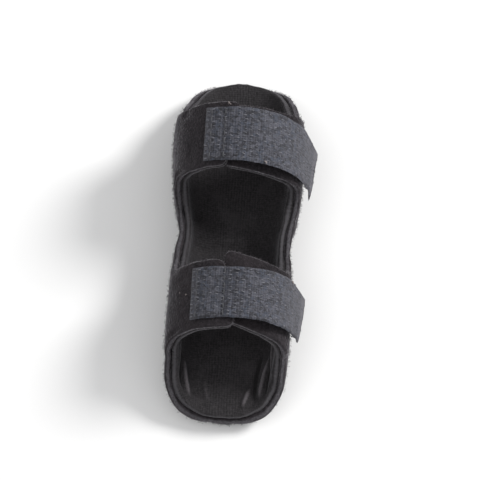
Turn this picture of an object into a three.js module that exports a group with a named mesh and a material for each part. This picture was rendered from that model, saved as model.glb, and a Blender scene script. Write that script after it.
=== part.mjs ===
// Finger splint: a padded trough with a spoon-shaped tip, cut in one sheet with four wings that
// wrap over the finger. A lining follows its inside, and a hook-tape strap is sewn on each left wing.
// It lies on its palmar face: fingertip towards -Y, hand towards +Y, back of the finger up (+Z).
// The origin is the middle of the flat palmar face.
import * as THREE from "three";

// Body sizes in millimetres
const bodyLength = 65;
const bodyWidth = 23.2;
const crownHeight = 20.9;
const rimHeight = 10.2;
const palmCorner = 7.5;
const palmThickness = 1.9;
const wallThickness = 1.1;
const wingThickness = 1.0;
const liningThickness = 1.0;
const liningClearance = 0.15;
const tipCurl = 1.3;
const tipCurlLength = 8;

// Where the cut sheet's outline reaches the wings, measured from each end of the body
const tipSetback = 12.9;
const heelSetback = 11.2;
const wingSweep = 8;
const windowFillet = 5.5;
const wingWidth = { tip: 11.4, heel: 12.9 };
const wingEndRadius = 1.2;
const lapClearance = 0.25;
const lapEase = 10;

// Both straps bend towards the fingertip in their own plane, from a place past the crown on.
const strapThickness = 1;
const strapEase = 13;
const strapLeaveAngle = THREE.MathUtils.degToRad(24);
const strapBendStart = 5;
const strapBendRadius = 50;

// The straps, in millimetres and degrees. The column shift moves a strap from the middle of its
// wings towards the hand, start is how far left of the crown it is sewn on, and free is the length
// that stands out past the right shoulder. It leans towards the hand by slant, its free end is cut
// askew by cut, and the hand's edge of the free part turns by spread towards the fingertip.
const straps = {
  tip: { width: 9.5, shift: 0.4, start: 6.3, free: 4.2, slant: -1.5, cut: 17, spread: 6 },
  heel: { width: 9.9, shift: 0.3, start: 5.5, free: 4.6, slant: 1, cut: 15, spread: 10 },
};

// The side wall turns into a shoulder at this share of the crown height, and the shoulder
// bends through this angle before the flatter crown takes over.
const springShare = 0.6;
const shoulderTurn = THREE.MathUtils.degToRad(50);

// Sections along the body. Shares: at of the length from the tip, left and right of half the
// bodyWidth on that side, crown of crownHeight.
const sections = [
  { at: 0, left: 0.825, right: 0.815, crown: 0.8 },
  { at: 0.03, left: 0.883, right: 0.87, crown: 0.805 },
  { at: 0.072, left: 0.92, right: 0.908, crown: 0.81 },
  { at: 0.12, left: 0.935, right: 0.925, crown: 0.82 },
  { at: 0.2, left: 0.942, right: 0.938, crown: 0.835 },
  { at: 0.294, left: 0.936, right: 0.936, crown: 0.852 },
  { at: 0.42, left: 0.905, right: 0.912, crown: 0.9 },
  { at: 0.47, left: 0.88, right: 0.904, crown: 0.92 },
  { at: 0.515, left: 0.86, right: 0.912, crown: 0.94 },
  { at: 0.55, left: 0.876, right: 0.95, crown: 0.952 },
  { at: 0.62, left: 0.945, right: 1, crown: 0.975 },
  { at: 0.738, left: 1, right: 1, crown: 1 },
  { at: 0.82, left: 0.984, right: 0.984, crown: 1.01 },
  { at: 0.885, left: 0.91, right: 0.91, crown: 1.02 },
  { at: 0.931, left: 0.835, right: 0.835, crown: 1.02 },
  { at: 1, left: 0.75, right: 0.75, crown: 1.02 },
];

// Outline of the cut sheet at both ends, on the left (-X) and on the right. The column at counts the
// bends of a section: 0 middle of the palm, 1 start of the corner, 2 foot of the side wall, 3 rim
// between the wings, 4 end of the sweep into the wing. Shares: tip of tipSetback, heel of heelSetback.
const outline = [
  { at: 0, tipLeft: 0, tipRight: 0, heelLeft: 0, heelRight: 0 },
  { at: 1, tipLeft: 0.005, tipRight: 0.005, heelLeft: 0.005, heelRight: 0.004 },
  { at: 1.25, tipLeft: 0.03, tipRight: 0.03, heelLeft: 0.03, heelRight: 0.02 },
  { at: 1.5, tipLeft: 0.12, tipRight: 0.12, heelLeft: 0.12, heelRight: 0.09 },
  { at: 1.75, tipLeft: 0.33, tipRight: 0.33, heelLeft: 0.33, heelRight: 0.24 },
  { at: 2, tipLeft: 0.55, tipRight: 0.54, heelLeft: 0.6, heelRight: 0.45 },
  { at: 2.5, tipLeft: 0.705, tipRight: 0.69, heelLeft: 0.86, heelRight: 0.65 },
  { at: 3, tipLeft: 0.8, tipRight: 0.79, heelLeft: 0.97, heelRight: 0.82 },
  { at: 3.5, tipLeft: 0.945, tipRight: 0.94, heelLeft: 0.995, heelRight: 0.95 },
  { at: 4, tipLeft: 1, tipRight: 1, heelLeft: 1, heelRight: 1 },
];

// The four wings, in millimetres and degrees. The column past is how far the end lies beyond the
// crown. The edges are bowed: low is the edge nearer the fingertip and high the other one, each
// shifted towards the hand by half at the middle of the wing's length and by end at its end. The
// end is cut askew by cut.
const wings = [
  { end: "tip", side: 1, past: 1.8, cut: 0, low: { half: 0.1, end: 2.5 }, high: { half: 1.5, end: 2.9 } },
  { end: "tip", side: -1, past: 0, cut: -7, low: { half: -0.3, end: 0.1 }, high: { half: 0.35, end: 0.8 } },
  { end: "heel", side: 1, past: 2.5, cut: 0, low: { half: 0.8, end: 1.9 }, high: { half: 0.1, end: 0.2 } },
  { end: "heel", side: -1, past: -1.35, cut: 13, low: { half: 0.9, end: 1.2 }, high: { half: 0, end: 0 } },
];

// Mesh steps
const sheetSteps = {
  palm: [0, 0.5, 1],
  corner: [1.2, 1.4, 1.6, 1.8, 2],
  wall: [2.5, 3],
  tipRows: 11,
  windowRows: 3,
  heelRows: 12,
  filletTurns: 4,
  wingStep: 1.8,
  wingEndTurns: 3,
};
const strapSteps = { along: 22, free: 2, across: 5 };

// Places worked out from the sizes
const rimBend = 3;
const tipEnd = -bodyLength / 2;
const heelEnd = bodyLength / 2;
const tipWindow = tipEnd + tipSetback + wingWidth.tip;
const heelWindow = heelEnd - heelSetback - wingWidth.heel;
const wingMiddle = { tip: tipWindow - wingWidth.tip / 2, heel: heelWindow + wingWidth.heel / 2 };
const liningDepth = liningClearance + liningThickness;
const lapRise = wingThickness + liningDepth + lapClearance;

const { lerp, smoothstep, clamp, degToRad } = THREE.MathUtils;

// A smooth curve through one column of a table, read at any place along its at column.
function column(table, name) {
  const places = table.map((row) => row.at);
  const values = table.map((row) => row[name]);
  const curve = new THREE.CubicInterpolant(places, values, 1);
  curve.settings = { endingStart: THREE.ZeroSlopeEnding, endingEnd: THREE.ZeroCurvatureEnding };
  const last = places[places.length - 1];
  return (at) => curve.evaluate(clamp(at, 0, last))[0];
}

const widthShares = [column(sections, "left"), column(sections, "right")];
const crownShare = column(sections, "crown");
const tipShares = [column(outline, "tipLeft"), column(outline, "tipRight")];
const heelShares = [column(outline, "heelLeft"), column(outline, "heelRight")];

// One side's outer section at a place along the body: palm, corner, side wall, shoulder and
// crown, with the girth from the middle of the palm at which each begins.
function sectionAt(y, side) {
  const at = (y - tipEnd) / bodyLength;
  const halfWidth = (widthShares[side < 0 ? 0 : 1](at) * bodyWidth) / 2;
  const crown = crownShare(at) * crownHeight;
  const spring = springShare * crown;
  const arch = crown - spring;
  const flattening = (1 - Math.sin(shoulderTurn)) / Math.cos(shoulderTurn);
  const shoulderRadius = (arch - flattening * halfWidth) / (1 - flattening);
  const crownRadius = shoulderRadius + (halfWidth - shoulderRadius) / Math.cos(shoulderTurn);
  const palm = halfWidth - palmCorner;
  const cornerEnd = palm + (palmCorner * Math.PI) / 2;
  const springGirth = cornerEnd + spring - palmCorner;
  const shoulderEnd = springGirth + shoulderRadius * shoulderTurn;
  const crownGirth = shoulderEnd + crownRadius * (Math.PI / 2 - shoulderTurn);
  const reach = Math.max(0, 1 - (y - tipEnd) / tipCurlLength);
  return {
    halfWidth,
    crown,
    spring,
    shoulderRadius,
    crownRadius,
    palm,
    cornerEnd,
    springGirth,
    shoulderEnd,
    crownGirth,
    floor: tipCurl * reach * reach,
  };
}

// The girth of one of the outline's bends, from the middle of the palm to the rim.
function girthOfBend(y, bend, side) {
  const s = sectionAt(y, side);
  if (bend <= 1) return bend * s.palm;
  if (bend <= 2) return lerp(s.palm, s.cornerEnd, bend - 1);
  return s.cornerEnd + (bend - 2) * (rimHeight - palmCorner);
}

// A point of the outer surface, at a signed girth that may run on past the crown.
function surfacePoint(y, girth) {
  let side = Math.sign(girth) || 1;
  let g = Math.abs(girth);
  let s = sectionAt(y, side);
  const past = g - s.crownGirth;
  if (past > 0) {
    side = -side;
    s = sectionAt(y, side);
    g = s.crownGirth - past;
  }
  let x = g;
  let z = 0;
  if (g > s.shoulderEnd) {
    const angle = Math.PI / 2 - (s.crownGirth - g) / s.crownRadius;
    x = s.crownRadius * Math.cos(angle);
    z = s.crown - s.crownRadius * (1 - Math.sin(angle));
  } else if (g > s.springGirth) {
    const angle = (g - s.springGirth) / s.shoulderRadius;
    x = s.halfWidth - s.shoulderRadius * (1 - Math.cos(angle));
    z = s.spring + s.shoulderRadius * Math.sin(angle);
  } else if (g > s.cornerEnd) {
    x = s.halfWidth;
    z = palmCorner + g - s.cornerEnd;
  } else if (g > s.palm) {
    const angle = (g - s.palm) / palmCorner;
    x = s.palm + palmCorner * Math.sin(angle);
    z = palmCorner * (1 - Math.cos(angle));
  }
  return new THREE.Vector3(side * x, y, z + s.floor);
}

// The surface point with its outward normal and its direction of growing girth.
function surfaceFrame(y, girth) {
  const h = 0.02;
  const along = surfacePoint(y + h, girth).sub(surfacePoint(y - h, girth));
  const round = surfacePoint(y, girth + h).sub(surfacePoint(y, girth - h)).normalize();
  const normal = along.cross(round).normalize();
  return { point: surfacePoint(y, girth), normal, round };
}

const wingAt = (end, side) => wings.find((wing) => wing.end === end && wing.side === side);

// How much of the left wing's rise over the right wing is reached at a distance left of the crown.
function lapShare(left, end) {
  const start = wingAt(end, 1).past + lapClearance;
  return 1 - smoothstep(left, start, start + lapEase);
}

// A sheet is a list of places on the surface and the quads between them.
class Sheet {
  constructor() {
    this.places = [];
    this.quads = [];
  }

  place(y, girth, rise = 0) {
    return this.places.push({ y, girth, rise }) - 1;
  }

  // Quads between columns of places. The columns run with growing girth, the rows with growing Y.
  weave(columns) {
    for (let k = 0; k + 1 < columns.length; k += 1) {
      for (let j = 0; j + 1 < columns[k].length; j += 1) {
        const [a, b] = [columns[k], columns[k + 1]];
        this.quads.push([a[j], a[j + 1], b[j + 1], b[j]]);
      }
    }
  }
}

// A closed body between two liftings of a sheet's places. Each quad gives an outer and an inner
// face, and each edge that only one quad uses gives a strip of the rim.
function thickBody(outer, inner, quads) {
  const n = outer.length;
  const index = [];
  const edges = new Map();
  for (const [a, b, c, d] of quads) {
    index.push(a, b, c, a, c, d);
    index.push(n + a, n + c, n + b, n + a, n + d, n + c);
    for (const [from, to] of [[a, b], [b, c], [c, d], [d, a]]) {
      if (!edges.delete(`${to},${from}`)) edges.set(`${from},${to}`, [from, to]);
    }
  }
  for (const [from, to] of edges.values()) {
    index.push(to, from, n + from, to, n + from, n + to);
  }
  const positions = [...outer, ...inner].flatMap((p) => p.toArray());
  const geometry = new THREE.BufferGeometry();
  geometry.setAttribute("position", new THREE.Float32BufferAttribute(positions, 3));
  geometry.setIndex(index);
  geometry.computeVertexNormals();
  return geometry;
}

// Y of the outline's ends at one of its bends, on the left (side -1) or on the right (side 1).
const tipOutline = (side, bend) => tipEnd + tipSetback * tipShares[side < 0 ? 0 : 1](bend);
const heelOutline = (side, bend) => heelEnd - heelSetback * heelShares[side < 0 ? 0 : 1](bend);

// How far a quarter-round of a given radius stands out at a distance from where it starts.
function quarterRound(radius, distance) {
  const d = radius - clamp(distance, 0, radius);
  return radius - Math.sqrt(radius * radius - d * d);
}

// Shift of a bowed edge at a share of the wing's length.
function bowedShift({ half, end }, share) {
  return share * (4 * half - end) + share * share * (2 * end - 4 * half);
}

// Rows of the trough at one side's rim: the two wing zones and the window between them.
function rimRows(side, steps) {
  const stops = [
    [tipOutline(side, rimBend), tipWindow + windowFillet, steps.tipRows],
    [tipWindow + windowFillet, heelWindow - windowFillet, steps.windowRows],
    [heelWindow - windowFillet, heelOutline(side, rimBend), steps.heelRows],
  ];
  const rows = [tipOutline(side, rimBend)];
  for (const [from, to, count] of stops) {
    for (let i = 1; i <= count; i += 1) rows.push(lerp(from, to, i / count));
  }
  return rows;
}

// Each of a list of rows as a share of the way from its first to its last one.
const sharesOf = (rows) => rows.map((y) => (y - rows[0]) / (rows[rows.length - 1] - rows[0]));

// Girths beyond the rim at which a wing of a given length has its columns: close together in the
// fillets of the window and in the rounded corners of the wing's end.
function wingLevels(length, steps) {
  const levels = [];
  for (let i = 1; i <= steps.filletTurns; i += 1) {
    const turn = (i / steps.filletTurns) * (Math.PI / 2);
    levels.push(windowFillet * (1 - Math.cos(turn)));
  }
  const straight = length - windowFillet - wingEndRadius;
  const count = Math.max(2, Math.round(straight / steps.wingStep));
  for (let i = 1; i <= count; i += 1) {
    levels.push(windowFillet + straight * (i / count));
  }
  for (let i = 1; i <= steps.wingEndTurns; i += 1) {
    const turn = (i / steps.wingEndTurns) * (Math.PI / 2);
    levels.push(length - wingEndRadius * (1 - Math.sin(turn)));
  }
  return levels;
}

// The columns of places that one wing adds beyond the rim, over its row of places on the rim.
function wingColumns(sheet, wing, base, rows, steps) {
  const atTip = wing.end === "tip";
  const middle = wingMiddle[wing.end];
  const { side } = wing;
  const rim = girthOfBend(middle, rimBend, side);
  const length = sectionAt(middle, side).crownGirth - rim + wing.past;
  const shares = sharesOf(rows);
  const columns = [base];
  for (const level of wingLevels(length, steps)) {
    const bend = rimBend + Math.min(1, level / wingSweep);
    const flare = quarterRound(windowFillet, level);
    const inset = quarterRound(wingEndRadius, length - level);
    const reached = level / length;
    const lowEdge = (atTip ? tipOutline(side, bend) : heelWindow - flare) + inset;
    const highEdge = (atTip ? tipWindow + flare : heelOutline(side, bend)) - inset;
    const low = lowEdge + bowedShift(wing.low, reached);
    const high = highEdge + bowedShift(wing.high, reached);
    const column = shares.map((share) => {
      const y = lerp(low, high, share);
      const askew = reached * (y - middle) * Math.tan(degToRad(wing.cut));
      const girth = girthOfBend(y, rimBend, side) + level + askew;
      const left = sectionAt(y, side).crownGirth - girth;
      const rise = side < 0 ? lapRise * lapShare(left, wing.end) : 0;
      return sheet.place(y, side * girth, rise);
    });
    columns.push(column);
  }
  return side > 0 ? columns : columns.reverse();
}

// The whole cut sheet: the trough from rim to rim and the four wings.
function cutSheet(steps) {
  const sheet = new Sheet();
  const rows = { left: rimRows(-1, steps), right: rimRows(1, steps) };
  const shares = { left: sharesOf(rows.left), right: sharesOf(rows.right) };
  const bends = [...steps.palm, ...steps.corner, ...steps.wall];
  const signedBends = [...bends.slice(1).map((b) => -b).reverse(), ...bends];
  const trough = signedBends.map((bend) => {
    const at = Math.abs(bend);
    const rightness = (bend / rimBend + 1) / 2;
    return shares.left.map((leftShare, j) => {
      const share = lerp(leftShare, shares.right[j], rightness);
      const y = lerp(tipOutline(bend, at), heelOutline(bend, at), share);
      return sheet.place(y, Math.sign(bend) * girthOfBend(y, at, bend));
    });
  });
  sheet.weave(trough);
  for (const wing of wings) {
    const rim = wing.side > 0 ? trough[trough.length - 1] : trough[0];
    const from = wing.end === "tip" ? 0 : steps.tipRows + steps.windowRows;
    const count = wing.end === "tip" ? steps.tipRows + 1 : steps.heelRows + 1;
    const base = rim.slice(from, from + count);
    const rimPlaces = (wing.side > 0 ? rows.right : rows.left).slice(from, from + count);
    sheet.weave(wingColumns(sheet, wing, base, rimPlaces, steps));
  }
  return sheet;
}

// Thickness of the shell: thick under the finger, thinner up the walls and in the wings.
function shellThickness(y, girth) {
  const s = sectionAt(y, girth);
  const g = Math.abs(girth);
  const side = lerp(palmThickness, wallThickness, smoothstep(g, s.palm, s.cornerEnd));
  return lerp(side, wingThickness, smoothstep(g, girthOfBend(y, rimBend, girth), s.shoulderEnd));
}

// A layer of the cut sheet, between two depths below the outer surface.
function layer(sheet, outerDepth, innerDepth) {
  const lifted = (depth) =>
    sheet.places.map(({ y, girth, rise }) => {
      const { point, normal } = surfaceFrame(y, girth);
      return point.addScaledVector(normal, rise - depth(y, girth));
    });
  return thickBody(lifted(outerDepth), lifted(innerDepth), sheet.quads);
}

// A strap: sewn on the left wing, over the crown, down to the right shoulder, then straight out
// to its free end.
function strap(end) {
  const { width, shift, start, free, slant, cut, spread } = straps[end];
  const middle = wingMiddle[end];
  const s = sectionAt(middle, 1);
  const leave = s.crownGirth - s.springGirth - s.shoulderRadius * strapLeaveAngle;
  const wing = wingAt(end, -1);
  const wingReach = (wingWidth[end] / 2) * Math.abs(Math.tan(degToRad(wing.cut)));
  const wingEnd = -wing.past - wingReach;
  const sheet = new Sheet();
  const outer = [];
  const inner = [];
  const columns = [];
  for (let k = 0; k <= strapSteps.along + strapSteps.free; k += 1) {
    const held = Math.min(1, k / strapSteps.along);
    const freed = Math.max(0, k - strapSteps.along) / strapSteps.free;
    const left = lerp(start, -leave, held);
    const settled = smoothstep(left, wingEnd - strapEase, wingEnd);
    const under = lapRise * Math.min(lapShare(left, end), settled) + lapClearance;
    const bent = Math.max(0, -left - strapBendStart);
    const lean = degToRad(slant) + Math.atan(bent / strapBendRadius);
    const column = [];
    for (let j = 0; j <= strapSteps.across; j += 1) {
      const place = j / strapSteps.across;
      const across = width * (place - 0.5);
      const bentShift = (bent * bent) / (2 * strapBendRadius);
      const y = middle + shift + across + left * Math.tan(degToRad(slant)) - bentShift;
      const { point, normal, round } = surfaceFrame(y, sectionAt(y, 1).crownGirth + left);
      const out = freed * (free + across * Math.tan(degToRad(cut)));
      point.addScaledVector(round, -out);
      point.y -= out * Math.tan(lean + degToRad(spread) * place);
      inner.push(point.clone().addScaledVector(normal, under));
      outer.push(point.clone().addScaledVector(normal, under + strapThickness));
      column.push(outer.length - 1);
    }
    columns.push(column);
  }
  sheet.weave(columns.reverse());
  return thickBody(outer, inner, sheet.quads);
}

function named(name, geometry, colour, roughness) {
  const material = new THREE.MeshStandardMaterial({ color: colour, roughness, metalness: 0 });
  const mesh = new THREE.Mesh(geometry, material);
  mesh.name = name;
  return mesh;
}

const sheet = cutSheet(sheetSteps);
const shell = layer(sheet, () => 0, shellThickness);
const lining = layer(
  sheet,
  (y, girth) => shellThickness(y, girth) + liningClearance,
  (y, girth) => shellThickness(y, girth) + liningDepth,
);

const splint = new THREE.Group();
splint.name = "finger_splint";
splint.add(named("padded_shell", shell, 0x302d2f, 0.95));
splint.add(named("inner_lining", lining, 0x1c1b1d, 0.85));
splint.add(named("tip_strap", strap("tip"), 0x40424a, 0.8));
splint.add(named("knuckle_strap", strap("heel"), 0x40424a, 0.8));

export default splint;
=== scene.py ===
"""Finger splint: a padded trough of loop fabric with a dark lining, four wings that wrap over its
top, and two hook-tape straps sewn on the left wings. It lies on its palmar face, with its tip
towards -Y and its heel towards +Y. The surface of the cut sheet is worked out as in the part's
source."""

import math
from collections import namedtuple
from types import SimpleNamespace

import bpy
import numpy as np
from bpy.props import FloatProperty, FloatVectorProperty, IntProperty, PointerProperty
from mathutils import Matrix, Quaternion, Vector, noise


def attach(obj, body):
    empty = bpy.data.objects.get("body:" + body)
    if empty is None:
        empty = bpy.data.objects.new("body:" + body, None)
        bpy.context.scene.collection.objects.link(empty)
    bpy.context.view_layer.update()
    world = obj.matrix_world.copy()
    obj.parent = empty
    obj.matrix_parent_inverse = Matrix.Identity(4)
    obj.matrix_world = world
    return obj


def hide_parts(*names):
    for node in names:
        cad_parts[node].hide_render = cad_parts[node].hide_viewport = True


bl_info = {
    "name": "Finger splint",
    "version": (1, 0, 0),
    "blender": (4, 5, 0),
    "location": "View3D > Sidebar > Splint",
    "description": "Builds a padded finger splint with its lining, straps, hooks and stitching",
    "category": "Mesh",
}

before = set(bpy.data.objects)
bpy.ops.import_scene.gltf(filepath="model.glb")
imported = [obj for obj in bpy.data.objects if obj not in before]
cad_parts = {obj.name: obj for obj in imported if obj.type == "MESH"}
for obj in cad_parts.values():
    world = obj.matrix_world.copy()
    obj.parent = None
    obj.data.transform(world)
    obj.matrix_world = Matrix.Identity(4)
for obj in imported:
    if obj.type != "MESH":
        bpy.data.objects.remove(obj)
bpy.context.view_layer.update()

MM = 0.001
ROOT = "root"
SEED = 7

# The side wall turns into a shoulder at a share of the crown's height. Each bend of a section has
# a number, and the rim is the third.
RIM_BEND = 3
SPRING_SHARE = 0.6
SHOULDER_TURN = math.radians(50)

# Room between the layers. The lining's outer face lies closer under the shell than its solid's,
# and its inner face lies where the solid's does. The left wings lie clear over the right ones,
# and come down beside them over the ease.
LINING_GAP = 0.05 * MM
LINING_CLEARANCE = 0.15 * MM
LAP_CLEARANCE = 0.25 * MM
LAP_EASE = 10 * MM

# Sections along the body. Shares: at of the length from the tip, left and right of half the
# body's width on that side, crown of the crown's height.
Section = namedtuple("Section", "at left right crown")
SECTIONS = (
    Section(0, 0.825, 0.815, 0.8),
    Section(0.03, 0.883, 0.87, 0.805),
    Section(0.072, 0.92, 0.908, 0.81),
    Section(0.12, 0.935, 0.925, 0.82),
    Section(0.2, 0.942, 0.938, 0.835),
    Section(0.294, 0.936, 0.936, 0.852),
    Section(0.42, 0.905, 0.912, 0.9),
    Section(0.47, 0.88, 0.904, 0.92),
    Section(0.515, 0.86, 0.912, 0.94),
    Section(0.55, 0.876, 0.95, 0.952),
    Section(0.62, 0.945, 1, 0.975),
    Section(0.738, 1, 1, 1),
    Section(0.82, 0.984, 0.984, 1.01),
    Section(0.885, 0.91, 0.91, 1.02),
    Section(0.931, 0.835, 0.835, 1.02),
    Section(1, 0.75, 0.75, 1.02),
)

# Outline of the cut sheet, on the left and on the right. The column at counts the bends of a
# section: 0 middle of the palm, 1 start of the corner, 2 foot of the side wall, 3 rim, 4 end of
# the sweep into a wing. Shares: tip of the tip's setback, heel of the heel's setback.
Outline = namedtuple("Outline", "at tip_left tip_right heel_left heel_right")
OUTLINE = (
    Outline(0, 0, 0, 0, 0),
    Outline(1, 0.005, 0.005, 0.005, 0.004),
    Outline(1.25, 0.03, 0.03, 0.03, 0.02),
    Outline(1.5, 0.12, 0.12, 0.12, 0.09),
    Outline(1.75, 0.33, 0.33, 0.33, 0.24),
    Outline(2, 0.55, 0.54, 0.6, 0.45),
    Outline(2.5, 0.705, 0.69, 0.86, 0.65),
    Outline(3, 0.8, 0.79, 0.97, 0.82),
    Outline(3.5, 0.945, 0.94, 0.995, 0.95),
    Outline(4, 1, 1, 1, 1),
)

# The four wings, in millimetres and degrees. The column past is how far the end lies beyond the
# crown, and cut how far askew it is cut. low is the edge nearer the tip and high the other one,
# each bowed towards the heel: by half at the middle of the wing and by end at its end.
Bow = namedtuple("Bow", "half end")
Wing = namedtuple("Wing", "end side past cut low high")
WINGS = (
    Wing("tip", 1, 1.8, 0, Bow(0.1, 2.5), Bow(1.5, 2.9)),
    Wing("tip", -1, 0, -7, Bow(-0.3, 0.1), Bow(0.35, 0.8)),
    Wing("heel", 1, 2.5, 0, Bow(0.8, 1.9), Bow(0.1, 0.2)),
    Wing("heel", -1, -1.35, 13, Bow(0.9, 1.2), Bow(0, 0)),
)

# The straps, in millimetres and degrees. The column shift moves a strap from the middle of its
# wings towards the heel, start is how far left of the crown it is sewn on, free is the length
# that stands out past the right shoulder. It leans by slant, its free end is cut askew by cut,
# the heel's edge of the free part turns by spread, and its other corner is drawn out by spike.
Strap = namedtuple("Strap", "end name node width shift start free slant cut spread spike seed")
STRAPS = (
    Strap("tip", "tip_tape", "tip_strap", 9.5, 0.4, 6.3, 4.2, -1.5, 17, 6, 0.5, 14),
    Strap("heel", "knuckle_tape", "knuckle_strap", 9.9, 0.3, 5.5, 4.6, 1, 15, 10, 1.8, 15),
)

# Where a strap is sewn it sinks into the wing, and it leaves the wing over a blend. One seam lies
# near its sewn end and one near the end of the left wing.
SEWN_SINK = 0.2 * MM
SEWN_BLEND = 1.5 * MM
SEAM_MARGINS = (1.1 * MM, 0.9 * MM)

# Relief of a tape, in millimetres: ribs along it, thicker selvedges at a share of its half-width,
# a ledge whose brink, foot and end are counted from the end of the sewn part, a dent along each
# seam, a round corner at the free end, and thinner ends.
RELIEF = SimpleNamespace(
    rib=0.02,
    rib_pitch=0.62,
    selvedge=0.04,
    selvedge_place=0.94,
    selvedge_width=0.035,
    ledge=0.12,
    ledge_places=(-0.2, 0.5, 6),
    seam=0.1,
    seam_width=0.42,
    corner=0.6,
    thin_end=0.25,
)

# The drawn-out corner of a free end: its length, and the share of the width where it starts
SPIKE_LENGTH = 1.3 * MM
SPIKE_START = 0.28

# Lumps of the fabrics: how high and wide in millimetres, and their seed. A tape's own seed is
# added to that of its lumps. The fray is how far the threads at its free end stand out.
Lump = namedtuple("Lump", "height size seed")
SHELL_LUMPS = (Lump(0.1, 5, 1), Lump(0.06, 1.7, 2))
RIM_LUMP = Lump(0.12, 1.2, 3)
LINING_LUMPS = (Lump(0.08, 4, 4), Lump(0.04, 1.4, 5))
TAPE_LUMPS = (Lump(0.07, 3, 0),)
SELVEDGE_LUMPS = (Lump(0.07, 0.6, 2), Lump(0.1, 2.4, 4))
FRAY = Lump(0.24, 0.21, 13)

# Small shapes, in millimetres: how long, high and thick one is, and by what share they vary.
Small = namedtuple("Small", "length height thickness spread seed")
HOOK = Small(0.42, 0.42, 0.15, 0.15, SEED)
THREAD_END = Small(0.5, 0.12, 0.13, 0.5, SEED + 8)
LINT_FIBRE = Small(0.34, 0.11, 0.085, 0.5, SEED + 31)
KNOT_SEED = SEED + 5
STITCH_SEED = SEED + 11
NAP_SEED = SEED + 23
NAP_LEAN = 0.7

# Rows of small shapes. Spans, the hooks' limit and the threads' spacing are shares of the tape's
# width. The knots' spacing, stagger and jitter, along and across, are shares of their pitch.
HOOKS_ACROSS = 10
HOOK_SPAN = 0.46
HOOK_LIMIT = 0.475
KNOT_SPAN = 0.94
KNOT_SPACING = 0.8
KNOT_STAGGER = 0.4
KNOT_JITTER = (0.1, 0.08)
THREAD_SPAN = 0.49
THREAD_SPACING = 0.019
STITCH_SPAN = 0.9

# Specks of lint, in millimetres: how far left of the crown, and across from the strap's middle.
# A speck is a few fibres that lie a little apart.
Lint = namedtuple("Lint", "end left across")
LINT = (
    Lint("heel", -4.1, -4.6),
    Lint("heel", 1.9, 5.7),
    Lint("tip", -10.9, 4.3),
    Lint("tip", 9.1, 0.9),
    Lint("tip", 7.6, 0.3),
)
FIBRES_IN_A_SPECK = 4
SPECK_SPREAD = 0.07

# Wrinkles of the lining, as lines on the flat sheet in millimetres: y and girth at both ends,
# then how high and how wide the fold is. A negative height is a crease. Each line bows aside by
# a share of its length.
Fold = namedtuple("Fold", "y0 g0 y1 g1 height width")
FOLDS = (
    Fold(-29.0, 8.5, -20.5, 12.2, 0.85, 0.72),
    Fold(-28.2, 10.6, -19.0, 13.8, -0.6, 0.66),
    Fold(-24.5, 14.6, -14.0, 15.8, 0.6, 0.78),
    Fold(-30.9, 3.8, -26.2, 6.0, 0.62, 0.78),
    Fold(-29.2, 6.9, -19.0, 8.8, -0.5, 0.66),
    Fold(-29.4, -8.0, -21.5, -11.0, 0.7, 0.78),
    Fold(-28.0, -10.2, -18.0, -13.4, -0.5, 0.7),
    Fold(-25.0, -13.8, -15.5, -15.0, 0.41, 0.81),
    Fold(-30.0, -2.5, -24.0, -3.6, 0.31, 0.94),
    Fold(-6.5, -12.5, -4.8, -5.0, 0.44, 0.81),
    Fold(-2.8, -11.0, -2.2, 2.5, 0.41, 0.88),
    Fold(0.6, -7.5, 1.4, 9.0, 0.51, 0.94),
    Fold(3.8, -13.0, 4.8, -3.0, -0.41, 0.81),
    Fold(2.6, 4.0, 3.4, 13.0, 0.41, 0.81),
    Fold(-5.2, 4.5, -4.0, 13.0, -0.37, 0.81),
    Fold(6.4, -4.5, 7.4, 6.5, 0.34, 0.94),
    Fold(12.0, -9.6, 24.0, -8.6, 0.37, 0.94),
    Fold(10.0, 9.0, 26.5, 9.8, 0.41, 0.94),
    Fold(27.5, -4.0, 31.2, -6.5, -0.27, 0.68),
)
FOLD_BOW = 0.06

# Folds are measured against this height for the painted highlight on the lining's ridges and the
# painted shade in its creases. Between the cup and the knuckle this painted light fades by a share.
FULL_RIDGE = 0.42 * MM
RIDGE_FADE = 0.7
FADE_START = -17 * MM
FADE_END = -9 * MM

# Mesh steps of the cut sheet and of a tape
TROUGH_BENDS = np.concatenate(
    [np.linspace(0, 1, 6), np.linspace(1, 2, 16)[1:], np.linspace(2, RIM_BEND, 5)[1:]]
)
RIM_ROWS = {"tip": 30, "window": 8, "heel": 32}
FILLET_TURNS = 7
WING_STEP = 0.75 * MM
WING_END_TURNS = 4
TAPE_ROWS = 170
TAPE_COLUMNS = 72

# The cloth that swells. It is simulated larger than life, because tiny cloth is unsteady.
SIM_SCALE = 10
HOLD_LEVELS = 10
CLOTH = {
    "quality": 5,
    "mass": 0.3,
    "tension_stiffness": 15,
    "compression_stiffness": 15,
    "shear_stiffness": 5,
    "bending_stiffness": 0.5,
    "use_pressure": True,
    "shrink_min": -0.04,
    "vertex_group_mass": "hold",
}

# Where the cloth is held: at the rims by a share, under a lap from one share of its rise to
# another, and on the floor below one height and not at all above another. The lining swells by
# a share of the shell's swell.
SHELL_RIM_HOLD = 0.5
LINING_RIM_HOLD = 0.6
LAP_HOLD = (0.2, 0.7)
FLOOR_HOLD = (0.15 * MM, 1.4 * MM)
LINING_SWELL = 0.8

# How far the middle of a rim bulges out, and the height over the floor from which there is nap
SHELL_BULGE = 0.16 * MM
LINING_BULGE = 0.1 * MM
NAP_FLOOR_GAP = 0.8 * MM

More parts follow.
